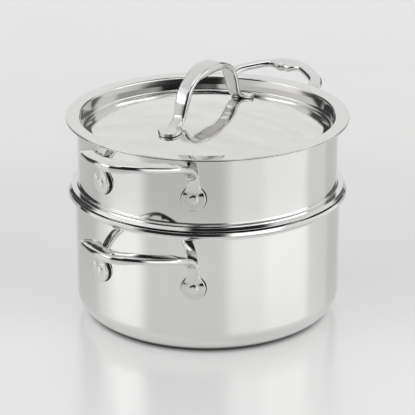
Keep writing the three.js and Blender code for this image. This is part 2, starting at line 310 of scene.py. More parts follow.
room = between(tree, fade(tree, towards(VIEW_TURN + math.pi), *BACK_FADE), SIDE_LIGHT, BACK_LIGHT)
room = between(tree, above(*CEILING), room, CEILING_LIGHT)
room = between(tree, between(tree, above(*HIGH), 0.0, sector(*CORNER)), room, CORNER_LIGHT)
room = between(tree, above(*OVERHEAD), room, SKYLIGHT)
room = between(tree, storey(sector(*LEFT), LEFT_LOW, LEFT_TOP), room, LEFT_LIGHT)
for start, end, blur, low, strength in BANDS:
    band = storey(sector(start, end, blur), (low, BAND_BLUR), (BAND_TOP, BAND_BLUR))
    room = between(tree, band, room, strength)
for start, end, top, strength in SCREENS:
    screen = between(tree, above(top, SCREEN_TOP_BLUR), sector(start, end, SCREEN_BLUR), 0.0)
    room = between(tree, screen, room, strength)
dark = between(tree, above(*HIGH), sector(*DARK_LOW), sector(*DARK_HIGH))
dark = between(tree, above(*OVERHEAD), dark, 0.0)
tree.links.new(between(tree, dark, room, DARK_LIGHT), tree.nodes["Background"].inputs["Strength"])
tree.nodes["Background"].inputs["Color"].default_value = (1, 1, 1, 1)
print("world", len(tree.nodes), "nodes")

# %% [markdown]
# ## Steel finishes
# The vessels are mirror polished. A real mirror of sheet metal is never perfect: polishing leaves
# hair lines round the vessel and handling leaves faint smudges. Both are noise on object
# coordinates; stretching the noise along the circle gives lines, leaving it round gives smudges.
# The castings and the rivets are a little duller than the sheet. Each finish's shade is painted light
# and shade: it makes the pot's wall a little lighter and the sheet and the castings darker than the
# same steel.

# %% Polished steel
STEEL = (0.80, 0.795, 0.785)
STEEL_LIGHT = (0.84, 0.835, 0.825)
SMUDGES = 24.0
HAIR_DEPTH = 0.00002
ROUND_LINES = (30, 30, 2600)
CAST_LINES = (140, 140, 140)
RIVET_LINES = (300, 300, 300)


def stretched(tree, vector, scale):
    """Object coordinates squeezed by a different factor along each axis."""
    mapping = tree.nodes.new("ShaderNodeMapping")
    mapping.inputs["Scale"].default_value = scale
    tree.links.new(vector, mapping.inputs["Vector"])
    return mapping.outputs["Vector"]


def add_bump(tree, shader, height, distance, strength):
    bump = tree.nodes.new("ShaderNodeBump")
    bump.inputs["Distance"].default_value = distance
    bump.inputs["Strength"].default_value = strength
    tree.links.new(height, bump.inputs["Height"])
    tree.links.new(bump.outputs["Normal"], shader.inputs["Normal"])


def polished(name, low, high, lines, waves, shade=1.0):
    """Mirror steel with smudges in its gloss and fine polishing lines in its surface."""
    finish, tree, shader, places = new_finish(name)
    shader.inputs["Metallic"].default_value = 1.0
    smudges = add_noise(tree, places, SMUDGES, detail=4.0)
    tints = [[part * shade for part in steel] for steel in (STEEL, STEEL_LIGHT)]
    tree.links.new(tint(tree, smudges, *tints), shader.inputs["Base Color"])
    tree.links.new(spread(tree, smudges, low, high), shader.inputs["Roughness"])
    hairs = add_noise(tree, stretched(tree, places, lines), 1.0, detail=3.0)
    add_bump(tree, shader, hairs, HAIR_DEPTH, waves)
    return finish


# Each has a name, its least and greatest roughness, its lines, their strength and its shade, which
# paints it lighter or darker.
# The shades paint light and shade: the pot's wall lighter, the sheet and the castings darker.
wall_polish = polished("polished_wall", 0.035, 0.075, ROUND_LINES, 0.10, 1.03)
sheet_polish = polished("polished_sheet", 0.03, 0.07, ROUND_LINES, 0.08, 0.96)
cast_polish = polished("polished_casting", 0.05, 0.11, CAST_LINES, 0.35, 0.93)
rivet_polish = polished("polished_rivet", 0.08, 0.15, RIVET_LINES, 0.3)
satin_casting = polished("satin_casting", 0.10, 0.17, CAST_LINES, 0.3, 0.88)
print("finishes", [m.name for m in bpy.data.materials])

# %% [markdown]
# Where two pieces lie on each other, the gap between them falls in shade. That shade is painted as a
# finish: a dull dark grey with fine specks, which isn't metal to the eye.

# %% Painted gap shade
# Painted shade for the gaps where pieces meet: a dull dark grey with fine specks.
GAP_SHADE_DARK = (0.03, 0.03, 0.028)
GAP_SHADE_LIGHT = (0.07, 0.068, 0.064)
GAP_SHADE_SPECKS = 900.0
GAP_SHADE_ROUGHNESS = (0.5, 0.7)

painted_gap_shade, tree, shader, places = new_finish("painted_gap_shade")
specks = add_noise(tree, places, GAP_SHADE_SPECKS)
tree.links.new(tint(tree, specks, GAP_SHADE_DARK, GAP_SHADE_LIGHT), shader.inputs["Base Color"])
tree.links.new(spread(tree, specks, *GAP_SHADE_ROUGHNESS), shader.inputs["Roughness"])
print("dull finish", painted_gap_shade.name)

# %% [markdown]
# The lid's disc and the insides of the vessels were turned under an abrasive pad. The scratches are
# circles round the middle, so the noise here depends on the distance from the axis. Anisotropy
# stretches the highlights across the scratches, as fine scratches do. Wiping leaves broad faint
# smears, which are a second noise, longer one way than the other, in the colour.

# %% Brushed steel
SMEAR_SCALE = (22, 52, 30)
SMEAR_DARK = (0.76, 0.755, 0.745)
SMEAR_LIGHT = (0.87, 0.865, 0.855)
SCRATCH_PATCHES = 14.0
SCRATCH_DEPTH = 0.00001
SCRATCH_BUMP = 0.6
SCRATCH_STRETCH = 0.6


def brushed(name, low, high, per_metre):
    """Satin steel with circular scratches that fade in and out along their length."""
    finish, tree, shader, places = new_finish(name)
    shader.inputs["Metallic"].default_value = 1.0
    shader.inputs["Anisotropic"].default_value = SCRATCH_STRETCH
    join = tree.nodes.new("ShaderNodeCombineXYZ")
    across = number_step(tree, "MULTIPLY", radius_from_axis(tree, places), per_metre)
    tree.links.new(across, join.inputs["X"])
    tree.links.new(add_noise(tree, places, SCRATCH_PATCHES), join.inputs["Y"])
    scratches = add_noise(tree, join.outputs["Vector"], 1.0, detail=5.0, roughness=0.75)
    smears = add_noise(tree, stretched(tree, places, SMEAR_SCALE), 1.0, detail=5.0, roughness=0.6)
    tree.links.new(tint(tree, smears, SMEAR_DARK, SMEAR_LIGHT), shader.inputs["Base Color"])
    tree.links.new(spread(tree, scratches, low, high), shader.inputs["Roughness"])
    add_bump(tree, shader, scratches, SCRATCH_DEPTH, SCRATCH_BUMP)
    grain = tree.nodes.new("ShaderNodeTangent")
    grain.direction_type = "RADIAL"
    grain.axis = "Z"
    tree.links.new(grain.outputs["Tangent"], shader.inputs["Tangent"])
    return finish


lid_brush = brushed("brushed_lid", 0.06, 0.14, 350.0)
inside_brush = brushed("brushed_inside", 0.20, 0.32, 700.0)
print("brushed", lid_brush.name, inside_brush.name)

# %% [markdown]
# ## Turning a vessel
# A pot, its insert and its lid are drawn or spun from round sheets, so each is a profile turned
# about the upright axis. The profile is a wire of a few corners in millimetres; bevelling a corner
# vertex gives it its bend, and one spin makes the body. Weighted normals keep the straight walls
# straight in the reflections, where plain smooth shading would bend them near every corner.

# %% Turned bodies
TURN_STEPS = 180
BEND_SEGMENTS = 10
SAME_PLACE = 1e-7


def draw_profile(bm, corners, segments=BEND_SEGMENTS):
    """A wire through (radius, height, bend) corners, with every bend rounded."""
    dots = [bm.verts.new((radius * MM, 0, height * MM)) for radius, height, _ in corners]
    for one, other in zip(dots, dots[1:]):
        bm.edges.new((one, other))
    for dot, (_, _, bend) in zip(dots, corners):
        if bend:
            back, ahead = (edge.other_vert(dot).co - dot.co for edge in dot.link_edges)
            turn = math.pi - back.angle(ahead)
            bmesh.ops.bevel(bm, geom=[dot], offset=bend * MM * math.tan(turn / 2), offset_type="OFFSET",
                            affect="VERTICES", segments=segments, profile=0.5, material=-1)


def turn_profile(bm, steps=TURN_STEPS):
    bmesh.ops.spin(bm, geom=bm.verts[:] + bm.edges[:], cent=(0, 0, 0), axis=(0, 0, 1),
                   angle=2 * math.pi, steps=steps, use_merge=True)
    bmesh.ops.remove_doubles(bm, verts=bm.verts[:], dist=SAME_PLACE)
    bmesh.ops.recalc_face_normals(bm, faces=bm.faces[:])


def facing(face):
    """A face's middle, its distance from the axis and how far it looks away from the axis."""
    middle = face.calc_center_median()
    return middle, math.hypot(middle.x, middle.y), middle.x * face.normal.x + middle.y * face.normal.y


print("turned bodies have", TURN_STEPS, "steps")

# %% Pieces


def add_piece(bm, name, body, finishes):
    """The finished mesh as an object that stands for the frame's node of the same name."""
    mesh = bpy.data.meshes.new(name)
    bm.to_mesh(mesh)
    bm.free()
    mesh.shade_smooth()
    for finish in finishes:
        mesh.materials.append(finish)
    piece = add_object(name + "_steel", mesh)
    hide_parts(name)
    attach(piece, body)
    print(piece.name, len(mesh.polygons), "faces")
    return piece


def settle(piece):
    """Applies the piece's modifiers to its mesh."""
    solved = piece.evaluated_get(bpy.context.evaluated_depsgraph_get())
    mesh = bpy.data.meshes.new_from_object(solved)
    piece.modifiers.clear()
    piece.data = mesh
    return mesh


def keep_flats_flat(piece):
    normals = piece.modifiers.new("flat_walls", "WEIGHTED_NORMAL")
    normals.mode = "FACE_AREA"
    normals.weight = 100
    normals.keep_sharp = True
    settle(piece)


# %% [markdown]
# ## Pot
# The pot has a flat base, a generous bend into a straight wall, and a lip that flares out so that
# it pours cleanly. Outside it is polished, inside it is brushed, so its faces get two finishes. A
# cylinder could be bevelled into the same form, but a profile gives wall and lip in one go.

# %% Pot
POT_RADIUS = 110.0
POT_WALL = 2.3
POT_RIM = 107.3
POT_LIP = 5.5
POT_FLARE = 3.7
POT_CORNER = 20.0
POT_BASE = 3.0
LIP_EDGE = 2.9
LIP_LEAN = 1.1
LIP_SLOPE = math.radians(27)
LIP_ROUND = 0.5
INNER_FLARE = 1.2
POT_BRUSHED = (1.5, POT_RIM - 4)        # heights between which the inside is brushed
LEVEL = 0.0001                          # a face that looks outwards by less counts as level
LOOKS_DOWN = -0.5

pot_inner = POT_RADIUS - POT_WALL
lip_low = POT_RIM - LIP_EDGE - POT_LIP * math.tan(LIP_SLOPE)
bm = bmesh.new()
draw_profile(bm, [
    (0, 0, 0),
    (POT_RADIUS, 0, POT_CORNER),
    (POT_RADIUS, lip_low, POT_FLARE),
    (POT_RADIUS + POT_LIP, POT_RIM - LIP_EDGE, LIP_ROUND),
    (POT_RADIUS + POT_LIP - LIP_LEAN, POT_RIM, LIP_ROUND),
    (pot_inner, lip_low + INNER_FLARE, POT_FLARE + POT_WALL),
    (pot_inner, POT_BASE, POT_CORNER - POT_WALL),
    (0, POT_BASE, 0),
])
turn_profile(bm)
for face in bm.faces:
    middle, radius, away = facing(face)
    inside = radius < (POT_RADIUS - POT_WALL / 2) * MM and away <= LEVEL
    brushed_height = POT_BRUSHED[0] * MM < middle.z < POT_BRUSHED[1] * MM
    face.material_index = int(inside and brushed_height and face.normal.z > LOOKS_DOWN)
pot = add_piece(bm, "pot_body", "pot", [wall_polish, inside_brush])
keep_flats_flat(pot)

# %% [markdown]
# ## Steamer insert
# The insert is thin drawn sheet: a rim for the lid, a wall as wide as the pot's inside, a folded
# bead that rests on the pot's lip, and a skirt with a perforated base that hangs in the pot. Its
# profile runs up the outside and back down the inside, so the sheet has a real thickness. The bead's
# underside gets the dark, dull finish of painted gap shade, so the gap over the pot's lip looks dark.

# %% Insert
SHEET = 1.0
INSERT_RADIUS = 107.4
INSERT_RIM = 167.0
INSERT_RIM_RADIUS = 115.8
INSERT_RIM_BEND = 3.0
RIM_ROUND = 0.45
BEAD_RADIUS = 114.3
BEAD_BOTTOM = 107.6
BEAD_TOP = 111.0
BEAD_LEAN = 1.8
BEAD_LIFT = 0.9
BEAD_UNDERCUT = 3 * BEAD_LIFT
BEAD_INNER = 1.5 * SHEET
SKIRT_RADIUS = 106.4
INSERT_BASE = 71.6
INSERT_CORNER = 9.0
LOOKS_UP = 0.9

bm = bmesh.new()
draw_profile(bm, [
    (0, INSERT_BASE, 0),
    (SKIRT_RADIUS, INSERT_BASE, INSERT_CORNER),
    (SKIRT_RADIUS, BEAD_BOTTOM, 0.4),
    (BEAD_RADIUS - BEAD_UNDERCUT, BEAD_BOTTOM, 0.3),
    (BEAD_RADIUS, BEAD_BOTTOM + BEAD_LIFT, 0.25),
    (BEAD_RADIUS - BEAD_LEAN, BEAD_TOP, 0.5),
    (INSERT_RADIUS, BEAD_TOP, 1.2),
    (INSERT_RADIUS, INSERT_RIM - SHEET, INSERT_RIM_BEND - SHEET),
    (INSERT_RIM_RADIUS, INSERT_RIM - SHEET, RIM_ROUND),
    (INSERT_RIM_RADIUS, INSERT_RIM, RIM_ROUND),
    (INSERT_RADIUS - SHEET, INSERT_RIM, INSERT_RIM_BEND),
    (INSERT_RADIUS - SHEET, BEAD_TOP - SHEET, 0.4),
    (BEAD_RADIUS - BEAD_LEAN - SHEET, BEAD_TOP - SHEET, 0.3),
    (BEAD_RADIUS - BEAD_INNER, BEAD_BOTTOM + SHEET, 0.3),
    (SKIRT_RADIUS - SHEET, BEAD_BOTTOM + SHEET, 0.4),
    (SKIRT_RADIUS - SHEET, INSERT_BASE + SHEET, INSERT_CORNER - SHEET),
    (0, INSERT_BASE + SHEET, 0),
])
turn_profile(bm)
for face in bm.faces:
    middle, radius, away = facing(face)
    looks_in = away < -LEVEL or face.normal.z > LOOKS_UP
    inside = looks_in and radius < (INSERT_RADIUS - SHEET / 2) * MM
    below_rim = middle.z < (INSERT_RIM - INSERT_RIM_BEND) * MM
    # The faces under the bead get the painted gap shade, for the shade in the gap over the pot's lip.
    gap_shade_under_bead = BEAD_BOTTOM * MM < middle.z < BEAD_TOP * MM and face.normal.z < LOOKS_DOWN
    face.material_index = 2 if gap_shade_under_bead else int(inside and below_rim)
insert = add_piece(bm, "insert_body", "insert",
                   [sheet_polish, inside_brush, painted_gap_shade])

# %% [markdown]
# The steam holes are punched, on the real sheet as here: a Boolean takes small cylinders out of the
# base, and the result is applied at once. Bridging every hole by hand would give the same edges with
# far more work.

# %% Steam holes
HOLE_RADIUS = 4.0
HOLE_PITCH = 24.0
HOLE_RINGS = 3
HOLES_PER_RING = 6
HOLE_SEGMENTS = 28
PUNCH_LENGTH = 4 * SHEET
SHARP_ANGLE = math.radians(40)


def combine(piece, bm, operation, finish=None):
    """Cuts a bmesh out of a piece, or joins it on with a finish of its own, and applies the result."""
    mesh = bpy.data.meshes.new(operation.lower())
    bm.to_mesh(mesh)
    bm.free()
    tool = add_object(mesh.name, mesh)
    boolean = piece.modifiers.new(mesh.name, "BOOLEAN")
    boolean.object = tool
    boolean.operation = operation
    boolean.solver = "EXACT"
    if finish:
        mesh.materials.append(finish)
        mesh.shade_smooth()
        boolean.material_mode = "TRANSFER"
    result = settle(piece)
    bpy.data.objects.remove(tool)
    result.set_sharp_from_angle(angle=SHARP_ANGLE)
    return result


bm = bmesh.new()
for ring in range(HOLE_RINGS + 1):
    count = max(1, HOLES_PER_RING * ring)
    for step in range(count):
        turn = 2 * math.pi * step / count
        place = Vector((ring * HOLE_PITCH * math.cos(turn), ring * HOLE_PITCH * math.sin(turn),
                        INSERT_BASE + SHEET / 2)) * MM
        bmesh.ops.create_cone(bm, cap_ends=True, segments=HOLE_SEGMENTS, radius1=HOLE_RADIUS * MM,
                              radius2=HOLE_RADIUS * MM, depth=PUNCH_LENGTH * MM,
                              matrix=Matrix.Translation(place))
combine(insert, bm, "DIFFERENCE")
keep_flats_flat(insert)
print("insert after punching", len(insert.data.polygons), "faces")

# %% [markdown]
# ## Lid
# The lid is sunk into the insert: a flat flange lies on the rim, a short wall drops from it, a
# groove and a small step follow, and then the disc rises in a very shallow dome. The dome is part of
# a large sphere, so a formula gives its height at any radius. Only the dome is brushed; the flange,
# the wall and the step keep their mirror polish.

# %% Lid
LID_TOP = 168.3
LID_RADIUS = 116.1
LID_WALL = 104.3
LID_BEND = 2.0
LID_GROOVE = 155.3
LID_GROOVE_BEND = 1.7
LID_GROOVE_EDGE = 100.6
DOME_EDGE = 95.2
DOME_EDGE_HEIGHT = 158.1
DOME_RISE = 14.0
DOME_POINTS = 24
DOME_POLISHED = 0.5                     # width of the polished edge of the dome

dome_radius = (DOME_EDGE ** 2 + DOME_RISE ** 2) / (2 * DOME_RISE)
dome_top = DOME_EDGE_HEIGHT + DOME_RISE


def dome_height(radius):
    return dome_top - dome_radius + math.sqrt(dome_radius ** 2 - radius ** 2)


dome_radii = [DOME_EDGE * i / DOME_POINTS for i in range(DOME_POINTS)]
dome = [(radius, dome_height(radius)) for radius in dome_radii]
bm = bmesh.new()
draw_profile(bm, [
    *((radius, height - SHEET, 0) for radius, height in dome),
    (DOME_EDGE, DOME_EDGE_HEIGHT - SHEET, 1.0),
    (LID_GROOVE_EDGE, LID_GROOVE - SHEET, 1.5),
    (LID_WALL + SHEET, LID_GROOVE - SHEET, LID_GROOVE_BEND + SHEET),
    (LID_WALL + SHEET, LID_TOP - SHEET, LID_BEND - SHEET),
    (LID_RADIUS, LID_TOP - SHEET, RIM_ROUND),
    (LID_RADIUS, LID_TOP, RIM_ROUND),
    (LID_WALL, LID_TOP, LID_BEND),
    (LID_WALL, LID_GROOVE, LID_GROOVE_BEND),
    (LID_GROOVE_EDGE, LID_GROOVE, 1.0),
    (DOME_EDGE, DOME_EDGE_HEIGHT, 1.0),
    *((radius, height, 0) for radius, height in reversed(dome)),
])
turn_profile(bm)
for face in bm.faces:
    face.material_index = int(facing(face)[1] < (DOME_EDGE - DOME_POLISHED) * MM)
lid = add_piece(bm, "lid", "lid", [sheet_polish, lid_brush])
keep_flats_flat(lid)

# %% [markdown]
# ## Sweeping a strap
# The handles are castings: a strap whose width and thickness change along a curved line. A smooth
# curve through a few points gives the line. At each station a circle is pulled out into a rectangle
# with rounded corners, and neighbouring sections are bridged, which leaves one closed skin. A curve
# object with a bevel would be quicker, but its section can't change its shape along the way.

# %% Strap line
CURVE_PIECES = 40
STATION_STEP = 0.7
MIDDLE_GAP = 0.1


def curve_through(points, step):
    """Evenly spaced places along a centripetal Catmull-Rom curve through the points."""
    points = [2 * points[0] - points[1], *points, 2 * points[-1] - points[-2]]
    dense = []
    for a, b, c, d in zip(points, points[1:], points[2:], points[3:]):
        ab, bc, cd = (math.sqrt((q - p).length) for p, q in ((a, b), (b, c), (c, d)))
        leave = ((b - a) / ab - (c - a) / (ab + bc) + (c - b) / bc) * bc
        arrive = ((c - b) / bc - (d - b) / (bc + cd) + (d - c) / cd) * bc
        for i in range(CURVE_PIECES):
            t = i / CURVE_PIECES
            dense.append(b * (2 * t ** 3 - 3 * t ** 2 + 1) + leave * (t ** 3 - 2 * t ** 2 + t)
                         + c * (3 * t ** 2 - 2 * t ** 3) + arrive * (t ** 3 - t ** 2))
    dense.append(points[-2])
    lengths = [0.0]
    for p, q in zip(dense, dense[1:]):
        lengths.append(lengths[-1] + (q - p).length)
    count = max(2, round(lengths[-1] / step))
    places, at = [], 0
    for i in range(count + 1):
        wanted = lengths[-1] * i / count
        while at < len(dense) - 2 and lengths[at + 1] < wanted:
            at += 1
        share = (wanted - lengths[at]) / max(lengths[at + 1] - lengths[at], 1e-12)
        places.append(dense[at].lerp(dense[at + 1], min(share, 1)))
    return places


def half_stations(half, axis):
    """Stations on half a strap, from its end to its middle: place, direction and length to go.
    The curve runs on to the mirror image of the last point but one, so it is smooth in the middle."""
    other = half[-2].copy()
    other[axis] = -other[axis]
    side = math.copysign(1, half[0][axis])
    places = [p for p in curve_through([*half, other], STATION_STEP) if side * p[axis] > MIDDLE_GAP]
    places.append(half[-1])
    across = Vector((0, 0, 0))
    across[axis] = -side
    left = sum((q - p).length for p, q in zip(places, places[1:]))
    stations = []
    for i, place in enumerate(places):
        before, after = places[max(i - 1, 0)], places[min(i + 1, len(places) - 1)]
        left -= (place - before).length
        stations.append((place, (after - before).normalized() if place[axis] else across, left))
    return stations


print("straps have a station every", STATION_STEP, "mm")

# %% Strap sections
SECTION_POINTS = 48
FLAT_SHARE = 0.55
MIDDLE_MERGE = 0.00005
STRAP_MERGE = 1e-6


def ease(value, start, end):
    """0 before start, 1 after end and a smooth change between them."""
    share = min(max((value - start) / (end - start), 0.0), 1.0)
    return share * share * (3 - 2 * share)


def bump_at(distance, reach):
    """1 at no distance, 0 past the reach and a round change between them."""
    return 0.5 + 0.5 * math.cos(math.pi * distance / reach) if abs(distance) < reach else 0.0


def pulled(value):
    """Moves the points of a circle towards its four corners."""
    share = max(-1.0, min(1.0, value / FLAT_SHARE))
    return math.sin(share * math.pi / 2)


def add_section(bm, place, side, over, right, left, top, bottom, corner, lean=0.0, shape=None):
    """One ring of the strap, pulled out to four half sizes with rounded corners.
    lean draws the upper edges in; shape moves points up or down where the faces aren't flat."""
    ring = bmesh.ops.create_circle(bm, cap_ends=False, segments=SECTION_POINTS, radius=1.0)["verts"]
    for dot in ring:
        half = right if dot.co.x > 0 else left
        rise = top if dot.co.y > 0 else bottom
        bend = min(corner, half, rise)
        across = pulled(dot.co.x) * (half - bend) + dot.co.x * bend
        up = pulled(dot.co.y) * (rise - bend) + dot.co.y * bend
        across *= 1 - lean / half * max(up / rise, 0)
        if shape:
            up = shape(across, up)
        dot.co = (place + side * across + over * up) * MM
    return list(dict.fromkeys(edge for dot in ring for edge in dot.link_edges))


def bridge_mirrored(bm, rings, axis):
    """Bridges the rings of a half, closes its free end, mirrors it and points its faces outwards."""
    for one, other in zip(rings, rings[1:]):
        bmesh.ops.bridge_loops(bm, edges=one + other)
    bmesh.ops.contextual_create(bm, geom=rings[0])
    bmesh.ops.mirror(bm, geom=bm.verts[:] + bm.edges[:] + bm.faces[:], axis=axis,
                     merge_dist=MIDDLE_MERGE)
    bmesh.ops.remove_doubles(bm, verts=bm.verts[:], dist=STRAP_MERGE)
    bmesh.ops.recalc_face_normals(bm, faces=bm.faces[:])


print("a strap's section has", SECTION_POINTS, "points")

# %% [markdown]
# ## Loop handles
# Each vessel has two loops. A round lug sits on the wall, a leg rises from it, bends outwards under
# the rim and runs into a bowed grip with a swelling in its middle. A rib runs down the leg between
# two scoops in the lug. Half a loop is swept from the bottom of the lug to the middle of the grip,
# and a mirror makes the other half. A thin dark disc in the joint, a little wider than the lug, is
# painted shade: it draws the dark line of the gap round each lug.

# %% Loop line
LUG_RADIUS = 9.7
LUG_THICKNESS = 3.2
LUG_ANGLE = math.radians(22.2)
LUG_GAP = 0.3
LEG_STRAIGHT = 19.0
LEG_BEND = 12.0
LEG_SLANT = 0.05
GRIP_REACH = {POT_RADIUS: 44.0, INSERT_RADIUS: 46.4}
GRIP_RISE = 7.4
GRIP_DROP = 0.7
# Heights in lug radii, then outwards and up from the rivet, then shares of the span and the reach.
LUG_PLACES = (-1.0, -0.4, 0.3)
LEG_PLACES = ((0, 10.5), (2.0, 19), (7.5, 25.3), (15, 29.4))
GRIP_PLACES = ((0.83, 0.36), (0.63, 0.62), (0.4, 0.83), (0.16, 0.965), (0, 1))
UP = Vector((0, 0, 1))


def loop_line(wall):
    """Centre line of the right half of a loop, from the foot of its lug to the middle of its grip."""
    middle = wall + LUG_GAP + LUG_THICKNESS / 2
    foot = middle * direction(LUG_ANGLE, 0)
    end = (middle + LEG_BEND) * direction(LUG_ANGLE, 0)
    low = LEG_STRAIGHT + LEG_BEND - GRIP_DROP
    reach = -(wall + GRIP_REACH[wall])
    legs = [*((0, share * LUG_RADIUS) for share in LUG_PLACES), *LEG_PLACES]
    return [
        *(foot + Vector((-LEG_SLANT * out, -out, z)) for out, z in legs),
        *(Vector((end.x * across, end.y + (reach - end.y) * out, low + GRIP_RISE * out))
          for across, out in GRIP_PLACES),
    ]


print("loop line", len(loop_line(POT_RADIUS)), "points")

# %% Loop sections
LUG_SHOULDER = 4.0
LUG_WAIST = 11.5
LUG_EDGE = 1.2
LUG_LEAST, TIP_LEAST = 0.2, 0.03        # keep the end of the lug from closing to a point
LEG_HALF = 4.9
LEG_CROWN = 0.7
CROWN_RISE = (6, 14)                    # heights between which the crown begins
SCOOP = 1.0
SCOOP_PLACE = (6.1, 6.2)
SCOOP_HALF = (3.3, 4.2)
PAD_WIDENING = 4.5
PAD_DROOP = 2.2


def lug_half_width(z):
    """Half width of the lug and the leg at a height above the rivet."""
    if z <= LUG_SHOULDER:
        return math.sqrt(max(LUG_RADIUS ** 2 - z ** 2, LUG_LEAST))
    wide = math.sqrt(LUG_RADIUS ** 2 - LUG_SHOULDER ** 2)
    slope = -LUG_SHOULDER / wide * (LUG_WAIST - LUG_SHOULDER)
    t = min((z - LUG_SHOULDER) / (LUG_WAIST - LUG_SHOULDER), 1.0)
    return wide * (2 * t ** 3 - 3 * t ** 2 + 1) + slope * (t ** 3 - 2 * t ** 2 + t) \
        + LEG_HALF * (3 * t ** 2 - 2 * t ** 3)


def lug_shape(z, half, front, grip):
    """Hollows the front face beside the rib of the lug and rounds off the front of the leg."""
    crown = LEG_CROWN * ease(z, *CROWN_RISE) * (1 - grip)

    def shape(across, up):
        beside = (abs(across) - SCOOP_PLACE[0]) / SCOOP_HALF[0]
        hollow = SCOOP * bump_at(math.hypot(beside, (z - SCOOP_PLACE[1]) / SCOOP_HALF[1]), 1.0)
        return up * (1 - (hollow + crown * (across / half) ** 2) / front) if up < 0 else up

    return shape


def pad_shape(pad, half):
    """Lets the inner edge of the grip droop where its pad is."""
    return lambda across, up: up - PAD_DROOP * pad * ease(-across, 0, half + PAD_WIDENING)


def round_tip(z):
    """Thins the bottom edge of the lug to a round."""
    past = (LUG_EDGE - LUG_RADIUS - z) / LUG_EDGE
    return math.sqrt(max(1 - past * past, TIP_LEAST)) if past > 0 else 1.0


print("lug", 2 * lug_half_width(0), "mm wide, leg", 2 * lug_half_width(LUG_WAIST), "mm")

# %% Loop sweep
GRIP_HALF = 6.0
GRIP_THICKNESS = 5.2
GRIP_TILT = math.radians(4)
GRIP_LEAN = 1.1
GRIP_ROUNDING = 0.6
LEG_SWELL = (3, 16)                     # heights between which the front of the leg thickens
PAD_FLAT = 6.0
PAD_REACH = 14.0
PAD_THICKENING = 1.6
# A dark disc behind each lug paints the shade of the gap round it.
SHADE_DISC_RADIUS = 10.3
SHADE_DISC_THICKNESS = 0.2
SHADE_DISC_SEGMENTS = 64


def add_loop_section(bm, place, along, left):
    """The section of a loop at one station, with the length that is left to the grip's middle."""
    level = Vector((along.x, along.y, 0))
    out = Vector((place.x, place.y, 0)).normalized()
    outwards = UP.cross((level + out * (1 - level.length)).normalized())
    over = along.cross(outwards).normalized()
    pad = bump_at(max(left - PAD_FLAT, 0), PAD_REACH)
    grip = ease(place.z, LEG_STRAIGHT, LEG_STRAIGHT + LEG_BEND)
    roll = Matrix.Rotation(-GRIP_TILT * grip, 3, along)
    leg = lug_half_width(place.z)
    width = leg + (GRIP_HALF - leg) * grip
    back = LUG_THICKNESS / 2 + (GRIP_THICKNESS - LUG_THICKNESS) / 2 * grip
    front = LUG_THICKNESS / 2 + (GRIP_THICKNESS - LUG_THICKNESS) / 2 * ease(place.z, *LEG_SWELL)
    thin = round_tip(place.z)
    shape = pad_shape(pad, width) if pad else lug_shape(place.z, width, front, grip)
    return add_section(bm, place, roll @ outwards, roll @ over, width, width + PAD_WIDENING * pad,
                       back * thin, (front + PAD_THICKENING * pad) * thin,
                       LUG_EDGE + GRIP_ROUNDING * grip, GRIP_LEAN * grip, shape)


def add_gap_shade_disc(bm, wall, angle):
    """A dark disc between a lug and the wall, painted shade for the gap round the lug."""
    out = direction(angle, 0)
    turn = out.to_track_quat("Z", "Y").to_matrix().to_4x4()
    shade_disc = bmesh.ops.create_cone(bm, cap_ends=True, segments=SHADE_DISC_SEGMENTS, radius1=SHADE_DISC_RADIUS * MM,
                                 radius2=SHADE_DISC_RADIUS * MM, depth=SHADE_DISC_THICKNESS * MM,
                                 matrix=Matrix.Translation((wall + LUG_GAP / 2) * MM * out) @ turn)
    for face in {face for dot in shade_disc["verts"] for face in dot.link_faces}:
        face.material_index = 1


def sweep_loop(wall):
    """A loop handle with its rivets at height zero and its grip at the front."""
    bm = bmesh.new()
    rings = [add_loop_section(bm, *station) for station in half_stations(loop_line(wall), 0)]
    bridge_mirrored(bm, rings, "X")
    for angle in (-LUG_ANGLE, LUG_ANGLE):
        add_gap_shade_disc(bm, wall, angle)
    return bm


print("loop stations", len(half_stations(loop_line(POT_RADIUS), 0)))

# %% Loop handles
POT_LUG = 59.5
INSERT_LUG = 133.5
HALF_TURN = Matrix.Rotation(math.pi, 3, "Z")

for vessel, wall, lug in (("pot", POT_RADIUS, POT_LUG), ("insert", INSERT_RADIUS, INSERT_LUG)):
    for end in ("front", "rear"):
        bm = sweep_loop(wall)
        bmesh.ops.translate(bm, verts=bm.verts[:], vec=(0, 0, lug * MM))
        if end == "rear":
            bmesh.ops.rotate(bm, verts=bm.verts[:], cent=(0, 0, 0), matrix=HALF_TURN)
        # The second finish paints the shade of the gap round each lug.
        add_piece(bm, f"{vessel}_handle_{end}", vessel, [cast_polish, painted_gap_shade])

# %% [markdown]
# ## Rivets
# Each lug is held by one rivet: a low domed head outside, a shank through lug and wall, and a wide
# flat head inside. A rivet is round, so it is turned like the vessels and then laid on its side.

# %% Rivets
RIVET_HEAD = 4.0
RIVET_RISE = 1.1
RIVET_RIM = 0.5
RIVET_CROWN = (0.62, 0.95)              # shares of the head's radius and rise
RIVET_SHANK = 2.0
RIVET_FLANGE = 6.0
RIVET_FLANGE_THICKNESS = 1.0
RIVET_CLEARANCE = 0.4
RIVET_SEAT = 0.1
RIVET_STEPS = 40
RIVET_BENDS = 4


def turn_rivet(wall, sheet):
    """A rivet along +Z, measured from the vessel's axis."""
    face = wall + LUG_GAP + LUG_THICKNESS
    inner = math.sqrt((wall - sheet - RIVET_CLEARANCE) ** 2 - RIVET_FLANGE ** 2) - RIVET_SEAT
    bm = bmesh.new()
    draw_profile(bm, [
        (0, inner - RIVET_FLANGE_THICKNESS, 0),
        (RIVET_FLANGE, inner - RIVET_FLANGE_THICKNESS, 0.6),
        (RIVET_FLANGE, inner, 0.2),
        (RIVET_SHANK, inner, 0),
        (RIVET_SHANK, face, 0),
        (RIVET_HEAD, face, 0.1),
        (RIVET_HEAD, face + RIVET_RIM, 0.4),
        (RIVET_HEAD * RIVET_CROWN[0], face + RIVET_RISE * RIVET_CROWN[1], 2.0),
        (0, face + RIVET_RISE, 0),
    ], RIVET_BENDS)
    turn_profile(bm, RIVET_STEPS)
    return bm


